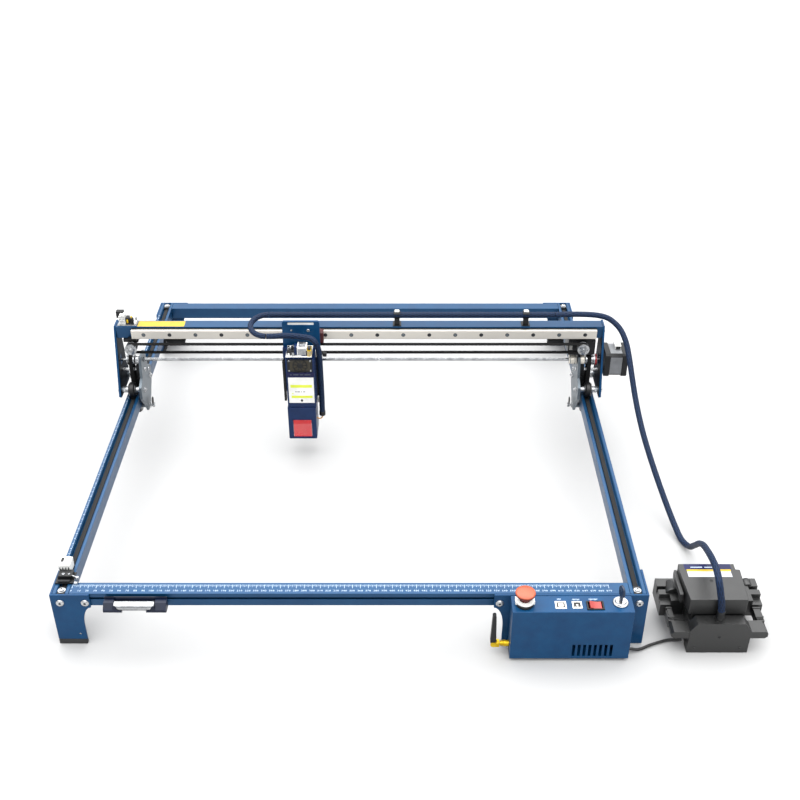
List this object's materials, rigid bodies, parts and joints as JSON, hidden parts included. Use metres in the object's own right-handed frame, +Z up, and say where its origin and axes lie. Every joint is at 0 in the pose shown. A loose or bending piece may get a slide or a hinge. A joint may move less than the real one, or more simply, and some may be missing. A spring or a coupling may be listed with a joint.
{
  "type": "desktop laser cutter",
  "caption": "Open-frame laser cutter and engraver: belt-driven gantry on a slotted frame, laser head on a linear guide, controller box and separate air pump with hose.",
  "frame": {"origin": "middle of the rigid object's footprint, on the surface it stands on", "axes": "+X to the right as the operator faces the controller, +Y away from the operator, +Z up"},
  "size_m": [0.907, 0.7968, 0.2198],
  "materials": {
    "blue_anodised": "satin blue anodised extrusion",
    "blue_sheet": "satin blue powder coat",
    "black_rubber": "matt black",
    "belt_rubber": "matt black toothed belt",
    "bright_steel": "ground steel",
    "silver_aluminium": "bright turned aluminium",
    "grey_sheet": "satin grey plate",
    "navy_aluminium": "satin navy anodised",
    "navy_plastic": "satin navy plastic",
    "black_plastic": "satin black plastic",
    "motor_black": "black motor with grey laminations",
    "wheel_plastic": "black moulded wheel",
    "carriage_steel": "steel block with dark red end caps",
    "switch_plastic": "white and black switch block",
    "red_acrylic": "clear red window",
    "red_plastic": "glossy red",
    "key_black": "dark key with moulded bow",
    "gold_plate": "gold-plated connector",
    "pump_plastic": "matt dark grey moulding",
    "hose_sleeve": "navy braided sleeve over an air tube and wires",
    "cable_black": "black flexible cable"
  },
  "bodies": {
    "frame": {"front_rail": "blue_anodised", "rear_rail": "blue_anodised", "left_rail": "blue_anodised", "right_rail": "blue_anodised", "leg_front_left": "blue_sheet", "leg_front_right": "blue_sheet", "leg_rear_left": "blue_sheet", "leg_rear_right": "blue_sheet", "controller_case": "blue_sheet", "foot_front_left": "black_rubber", "foot_front_right": "black_rubber", "foot_rear_left": "black_rubber", "foot_rear_right": "black_rubber", "left_drive_belt": "belt_rubber", "right_drive_belt": "belt_rubber", "key_lock": "silver_aluminium", "gauge_cradle": "navy_plastic", "estop_collar": "black_plastic", "y_limit_switch": "switch_plastic", "antenna_connector": "gold_plate", "pump_base": "pump_plastic", "pump_hood": "pump_plastic", "hose_drop": "hose_sleeve", "pump_cable": "cable_black"},
    "gantry": {"x_beam": "blue_anodised", "linear_guide": "bright_steel", "outer_plate_left": "blue_sheet", "outer_plate_right": "blue_sheet", "inner_plate_left": "grey_sheet", "inner_plate_right": "grey_sheet", "x_motor": "motor_black", "idler_bracket": "black_plastic", "x_belt": "belt_rubber", "y_motor": "motor_black", "x_limit_switch": "switch_plastic", "hose_beam_run": "hose_sleeve"},
    "head": {"carriage": "carriage_steel", "head_plate": "blue_sheet"},
    "laser": {"laser_case": "navy_aluminium", "laser_shield": "navy_aluminium", "shield_window": "red_acrylic", "hose_head_run": "hose_sleeve"},
    "fan": {"fan_rotor": "black_plastic"},
    "focus_knob": {"focus_knob": "black_plastic"},
    "hose_turn": {"hose_bend": "hose_sleeve"},
    "sync_shaft": {"sync_shaft": "bright_steel"},
    "x_drive_pulley": {"x_drive_pulley": "silver_aluminium"},
    "x_idler_pulley": {"x_idler_pulley": "silver_aluminium"},
    "wheel_front_left": {"wheel_front_left": "wheel_plastic"},
    "wheel_rear_left": {"wheel_rear_left": "wheel_plastic"},
    "roller_left": {"roller_left": "wheel_plastic"},
    "wheel_front_right": {"wheel_front_right": "wheel_plastic"},
    "wheel_rear_right": {"wheel_rear_right": "wheel_plastic"},
    "roller_right": {"roller_right": "wheel_plastic"},
    "estop_button": {"estop_button": "red_plastic"},
    "rocker": {"rocker": "red_plastic"},
    "key": {"key": "key_black"},
    "antenna_knuckle": {"antenna_knuckle": "gold_plate"},
    "antenna": {"antenna": "black_plastic"},
    "focus_gauge": {"focus_gauge": "bright_steel"}
  },
  "joints": [
    {"name": "gantry_slide", "type": "slide", "parent": "frame", "child": "gantry", "axis": [0, 1, 0], "range_m": [-0.384, 0.216], "deforming": ["hose_drop"]},
    {"name": "head_slide", "type": "slide", "parent": "gantry", "child": "head", "axis": [1, 0, 0], "range_m": [-0.212, 0.388], "deforming": ["hose_beam_run", "hose_bend"]},
    {"name": "laser_height", "type": "slide", "parent": "head", "child": "laser", "axis": [0, 0, 1], "range_m": [-0.03, 0.006], "deforming": ["hose_head_run"]},
    {"name": "hose_turn_slide", "type": "slide", "parent": "gantry", "child": "hose_turn", "axis": [1, 0, 0], "range_m": [-0.1696, 0.3104]},
    {"name": "fan_spin", "type": "hinge", "parent": "laser", "child": "fan", "pos_m": [-0.1625, 0.04935, 0.1612], "axis": [0, 1, 0], "continuous": true},
    {"name": "focus_lock", "type": "hinge", "parent": "laser", "child": "focus_knob", "pos_m": [-0.1305, 0.08035, 0.164], "axis": [1, 0, 0], "continuous": true},
    {"name": "sync_shaft_spin", "type": "hinge", "parent": "gantry", "child": "sync_shaft", "pos_m": [-0.0745, 0.10935, 0.1368], "axis": [1, 0, 0], "continuous": true},
    {"name": "x_drive_spin", "type": "hinge", "parent": "gantry", "child": "x_drive_pulley", "pos_m": [0.2715, 0.09235, 0.1668], "axis": [0, 1, 0], "continuous": true},
    {"name": "x_idler_spin", "type": "hinge", "parent": "gantry", "child": "x_idler_pulley", "pos_m": [-0.4272, 0.09235, 0.1668], "axis": [0, 1, 0], "continuous": true},
    {"name": "wheel_front_left_spin", "type": "hinge", "parent": "gantry", "child": "wheel_front_left", "pos_m": [-0.4334, 0.08735, 0.0946], "axis": [1, 0, 0], "continuous": true},
    {"name": "wheel_rear_left_spin", "type": "hinge", "parent": "gantry", "child": "wheel_rear_left", "pos_m": [-0.4334, 0.13135, 0.0946], "axis": [1, 0, 0], "continuous": true},
    {"name": "roller_left_spin", "type": "hinge", "parent": "gantry", "child": "roller_left", "pos_m": [-0.4334, 0.10935, 0.0511], "axis": [1, 0, 0], "continuous": true},
    {"name": "wheel_front_right_spin", "type": "hinge", "parent": "gantry", "child": "wheel_front_right", "pos_m": [0.2844, 0.08735, 0.0946], "axis": [1, 0, 0], "continuous": true},
    {"name": "wheel_rear_right_spin", "type": "hinge", "parent": "gantry", "child": "wheel_rear_right", "pos_m": [0.2844, 0.13135, 0.0946], "axis": [1, 0, 0], "continuous": true},
    {"name": "roller_right_spin", "type": "hinge", "parent": "gantry", "child": "roller_right", "pos_m": [0.2844, 0.10935, 0.0511], "axis": [1, 0, 0], "continuous": true},
    {"name": "estop_press", "type": "slide", "parent": "frame", "child": "estop_button", "axis": [0, 0, -1], "range_m": [0, 0.004], "stiffness_N_per_m": 900},
    {"name": "rocker_tilt", "type": "hinge", "parent": "frame", "child": "rocker", "pos_m": [0.2275, -0.38715, 0.081], "axis": [0, 1, 0], "range_deg": [-14, 0]},
    {"name": "key_turn", "type": "hinge", "parent": "frame", "child": "key", "pos_m": [0.2593, -0.38185, 0.086], "axis": [0, 0, 1], "range_deg": [-90, 0]},
    {"name": "antenna_swivel", "type": "hinge", "parent": "frame", "child": "antenna_knuckle", "pos_m": [0.1055, -0.38365, 0.0165], "axis": [1, 0, 0], "range_deg": [-10, 90]},
    {"name": "antenna_tilt", "type": "hinge", "parent": "antenna_knuckle", "child": "antenna", "pos_m": [0.1055, -0.38365, 0.0165], "axis": [0, -1, 0], "range_deg": [0, 90]},
    {"name": "gauge_lift", "type": "slide", "parent": "frame", "child": "focus_gauge", "axis": [0, 0, 1], "range_m": [0, 0.04]}
  ],
  "couplings": [
    {"joint": "hose_turn_slide", "follows": "head_slide", "ratio": 0.8},
    {"joint": "sync_shaft_spin", "follows": "gantry_slide", "rad_per_m": 144.93},
    {"joint": "x_drive_spin", "follows": "head_slide", "rad_per_m": 136.99},
    {"joint": "x_idler_spin", "follows": "head_slide", "rad_per_m": 136.99},
    {"joint": "wheel_front_left_spin", "follows": "gantry_slide", "rad_per_m": -83.333},
    {"joint": "wheel_rear_left_spin", "follows": "gantry_slide", "rad_per_m": -83.333},
    {"joint": "roller_left_spin", "follows": "gantry_slide", "rad_per_m": 83.333},
    {"joint": "wheel_front_right_spin", "follows": "gantry_slide", "rad_per_m": -83.333},
    {"joint": "wheel_rear_right_spin", "follows": "gantry_slide", "rad_per_m": -83.333},
    {"joint": "roller_right_spin", "follows": "gantry_slide", "rad_per_m": 83.333}
  ]
}
